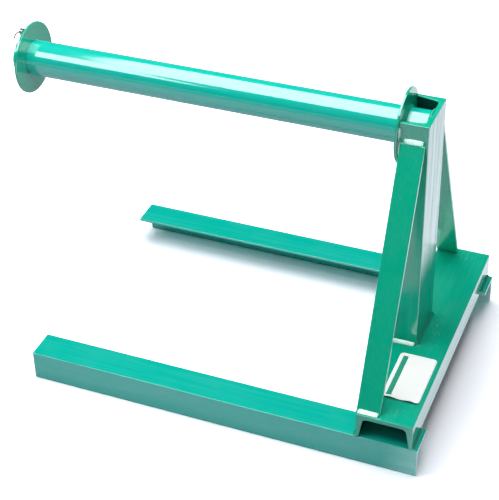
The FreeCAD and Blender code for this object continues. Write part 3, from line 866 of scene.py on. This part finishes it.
def ring_mesh(centre, radius, wire, lean):
    """A torus in the plane of X and the way the ring hangs, pinched at its butt joint."""
    shape = bmesh.new()
    down = Vector((0, -math.sin(lean), -math.cos(lean)))
    flat = Vector((1, 0, 0))
    across = flat.cross(down)
    loops = []
    for i in range(RING_STEPS):
        angle = 2 * math.pi * i / RING_STEPS
        arm = flat * math.sin(angle) + down * math.cos(angle)
        thick = wire / 2 * (BUTT_JOINT if i == RING_STEPS // 3 else 1.0)
        loop = []
        for j in range(WIRE_STEPS):
            turn = 2 * math.pi * j / WIRE_STEPS
            in_plane = arm * (radius + thick * math.cos(turn))
            loop.append(shape.verts.new(centre + in_plane + across * thick * math.sin(turn)))
        loops.append(loop)
    for i, loop in enumerate(loops):
        following = loops[(i + 1) % RING_STEPS]
        for j in range(WIRE_STEPS):
            k = (j + 1) % WIRE_STEPS
            shape.faces.new((loop[j], following[j], following[k], loop[k]))
    bmesh.ops.recalc_face_normals(shape, faces=shape.faces)
    mesh = bpy.data.meshes.new("ring")
    shape.to_mesh(mesh)
    shape.free()
    mesh.shade_smooth()
    return mesh


bright_steel = make_bright_steel()
rounded_copy("lock_pin", 0.15 * mm, "pin", bright_steel)
ring_low, ring_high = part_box("pull_ring")
ring_centre = (ring_low + ring_high) / 2
ring_radius = (ring_high.x - ring_low.x - RING_WIRE) / 2
ring_lean = math.asin(-ring_centre.y / ring_radius)
ring = plain_mesh_piece("pull_ring_wire", ring_mesh(ring_centre, ring_radius, RING_WIRE, ring_lean), "ring",
                        bright_steel, ["pull_ring"])
print("ring radius %.1f mm" % (ring_radius / mm))

# %% [markdown]
# ## Blank label
# A paper label is stuck on the base beside the upright. It carries nothing but a plain green
# band, and its near end has begun to lift. Its underside is painted near black, a painted shadow
# that draws a dark line there. It is a thin closed plate: an outline with round corners, cut into
# strips, bent up near one end and thickened. The paper glows a little, as white things do in an
# overexposed picture.

# %% Blank label
LABEL_X = (257.5 * mm, 308.3 * mm)
LABEL_Y = (-152.5 * mm, -59.0 * mm)
LABEL_CORNER = 5.0 * mm
LABEL_THICK = 0.18 * mm
LABEL_LIFT = 3.2 * mm
LABEL_LIFT_LENGTH = 12.0 * mm
LABEL_GAP = 0.04 * mm
LABEL_WAVE = 4.2 * mm
LABEL_BAND = (0.10, 0.24)
LABEL_BAND_ENDS = (0.06, 0.94)
LABEL_ROWS, LABEL_COLUMNS = 48, 24
LABEL_GLOW = 0.25
PAPER_ROUGHNESS = (0.32, 0.45)
FIBRE_SCALE = 2500.0
GRIME_SCALE = 60.0
PAPER_WHITE = (1.0, 1.0, 1.0, 1.0)
PAPER_GRIME = (0.86, 0.90, 0.88, 1.0)
PAPER_BACK_PAINTED_SHADOW = (0.03, 0.04, 0.04, 1.0)
BAND_GREEN = (0.02, 0.33, 0.22, 1.0)


def label_half_width(y):
    """Half the label's width at a place along it, less in its round corners."""
    half = (LABEL_X[1] - LABEL_X[0]) / 2
    from_end = min(y - LABEL_Y[0], LABEL_Y[1] - y)
    if from_end >= LABEL_CORNER:
        return half
    left = LABEL_CORNER - from_end
    return half - LABEL_CORNER + math.sqrt(max(LABEL_CORNER ** 2 - left ** 2, 0.0))


def label_rows():
    """Places along the label, closer together in its round corners."""
    corner = [LABEL_CORNER * (1 - math.cos(math.pi / 2 * i / 8)) for i in range(9)]
    low = [LABEL_Y[0] + step for step in corner]
    high = [LABEL_Y[1] - step for step in reversed(corner)]
    count = LABEL_ROWS - 1
    middle = [low[-1] + (high[0] - low[-1]) * i / count for i in range(1, count)]
    return low + middle + high


def label_height(x, y):
    """How far the label stands off the base: flat, but for its lifted end and a soft ripple."""
    share = max(0.0, 1.0 - (y - LABEL_Y[0]) / LABEL_LIFT_LENGTH)
    return LABEL_GAP + share ** 2 * LABEL_LIFT * (0.75 + 0.25 * math.sin(x / LABEL_WAVE))


def label_mesh(top):
    """The label as a closed plate."""
    shape = bmesh.new()
    middle = sum(LABEL_X) / 2
    rows = []
    for y in label_rows():
        half = label_half_width(y)
        xs = [middle + half * (2 * i / LABEL_COLUMNS - 1) for i in range(LABEL_COLUMNS + 1)]
        rows.append([shape.verts.new((x, y, top + label_height(x, y))) for x in xs])
    for low, high in zip(rows, rows[1:]):
        for i in range(LABEL_COLUMNS):
            shape.faces.new((low[i], low[i + 1], high[i + 1], high[i]))
    bmesh.ops.remove_doubles(shape, verts=shape.verts, dist=MERGE)
    bmesh.ops.recalc_face_normals(shape, faces=shape.faces)
    mesh = bpy.data.meshes.new("label")
    shape.to_mesh(mesh)
    shape.free()
    maker = bpy.data.objects.new("maker", mesh)
    scene.collection.objects.link(maker)
    thick = maker.modifiers.new("thick", "SOLIDIFY")
    thick.thickness = LABEL_THICK
    thick.offset = 1.0
    mesh = baked(maker)
    mesh.shade_smooth()
    return mesh


def make_label_paper():
    """White coated paper with one plain green band along its inner side, and a back painted near black as a
    shadow.
    """
    material, output = new_material("label_paper")
    tree = material.node_tree
    places = add_node(tree, "ShaderNodeTexCoord").outputs["Object"]
    spot = add_node(tree, "ShaderNodeSeparateXYZ", {0: places}).outputs
    across = ramp(tree, spot["X"], LABEL_X[0], LABEL_X[1], 0.0, 1.0)
    along = ramp(tree, spot["Y"], LABEL_Y[0], LABEL_Y[1], 0.0, 1.0)
    band = 1.0
    for value, low, high in ((across, *LABEL_BAND), (along, *LABEL_BAND_ENDS)):
        band = maths(tree, "MULTIPLY", band, maths(tree, "GREATER_THAN", value, low))
        band = maths(tree, "MULTIPLY", band, maths(tree, "LESS_THAN", value, high))
    fibre = noise(tree, places, FIBRE_SCALE, 3.0)
    grime = noise(tree, places, GRIME_SCALE, 4.0)
    paper = blend(tree, ramp(tree, grime, 0.55, 0.8, 0.0, 0.3), PAPER_WHITE, PAPER_GRIME)
    facing = add_node(tree, "ShaderNodeNewGeometry").outputs["True Normal"]
    upward = add_node(tree, "ShaderNodeSeparateXYZ", {0: facing}).outputs["Z"]
    shown = maths(tree, "GREATER_THAN", upward, 0.2)
    # Faces that don't look up take the near-black back: a painted shadow under the lifted end.
    colour = blend(tree, shown, PAPER_BACK_PAINTED_SHADOW, blend(tree, band, paper, BAND_GREEN))
    inputs = {
        "Base Color": colour,
        "Emission Color": colour,
        "Emission Strength": maths(tree, "MULTIPLY", shown, LABEL_GLOW),
        "Roughness": ramp(tree, fibre, 0.3, 0.7, *PAPER_ROUGHNESS),
        "Normal": bump(tree, fibre, 0.004 * mm),
    }
    sheet = add_node(tree, "ShaderNodeBsdfPrincipled", inputs)
    tree.links.new(sheet.outputs[0], output.inputs["Surface"])
    return material


label = plain_mesh_piece("blank_label", label_mesh(base_high.z), "frame", make_label_paper())
print("label: %d faces" % len(label.data.polygons))
